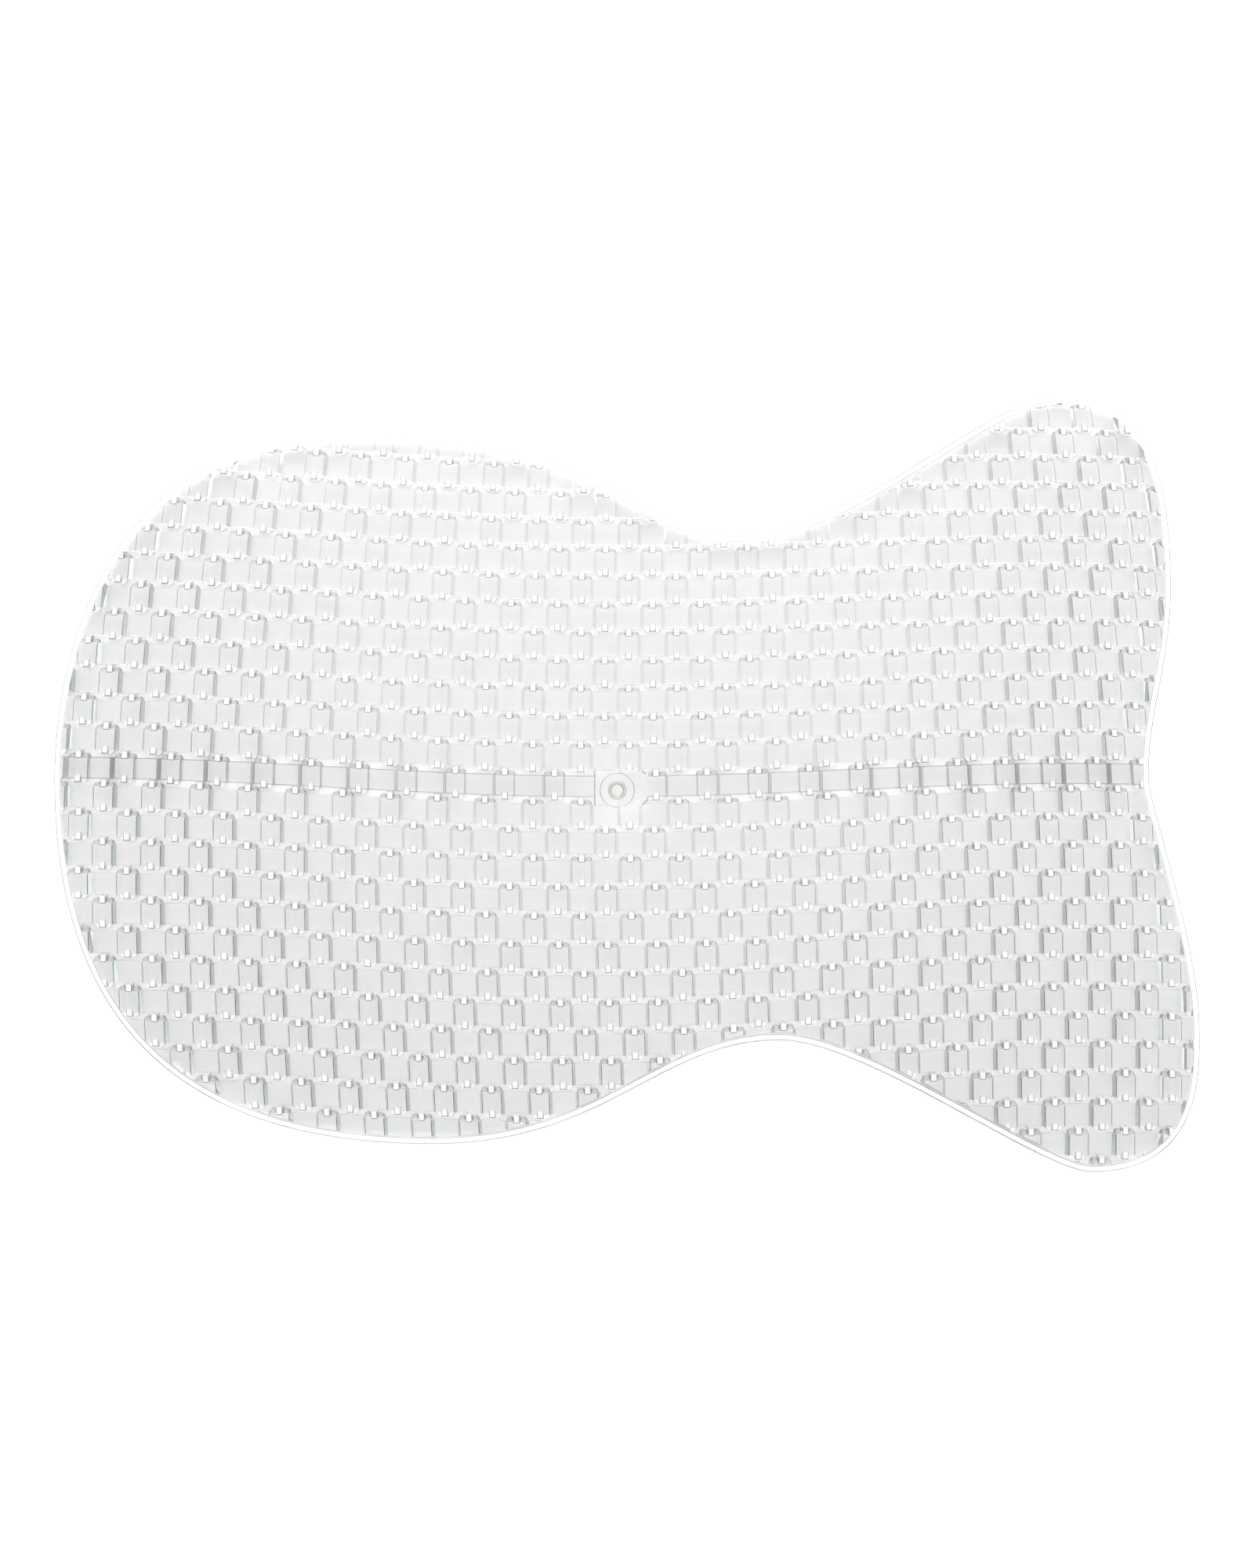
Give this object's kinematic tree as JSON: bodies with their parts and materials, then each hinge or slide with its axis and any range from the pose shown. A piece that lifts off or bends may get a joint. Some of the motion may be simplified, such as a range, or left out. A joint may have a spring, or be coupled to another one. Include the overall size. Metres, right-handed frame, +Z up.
{
  "type": "snowboard stomp pad",
  "caption": "Clear moulded stick-on stomp pad with a round head, waist and flared tail, raised tread tiles, an adhesive film and a peel-off liner.",
  "frame": {"origin": "under the middle of the outline's bounding box, on the underside of the liner", "axes": "+X from the round head to the flared tail, +Y across the pad, +Z up through the tread"},
  "size_m": [0.1644, 0.1112, 0.0049],
  "materials": {
    "clear_vinyl": "clear, glossy moulded",
    "clear_adhesive": "clear, slightly milky",
    "liner": "smooth silicone-coated"
  },
  "bodies": {
    "liner": {"release_liner": "liner"},
    "pad": {"traction_mat": "clear_vinyl", "adhesive_film": "clear_adhesive"}
  },
  "joints": [
    {"name": "liner_release", "type": "slide", "parent": "liner", "child": "pad", "axis": [0, 0, 1], "range_m": [0, 0.06]}
  ]
}
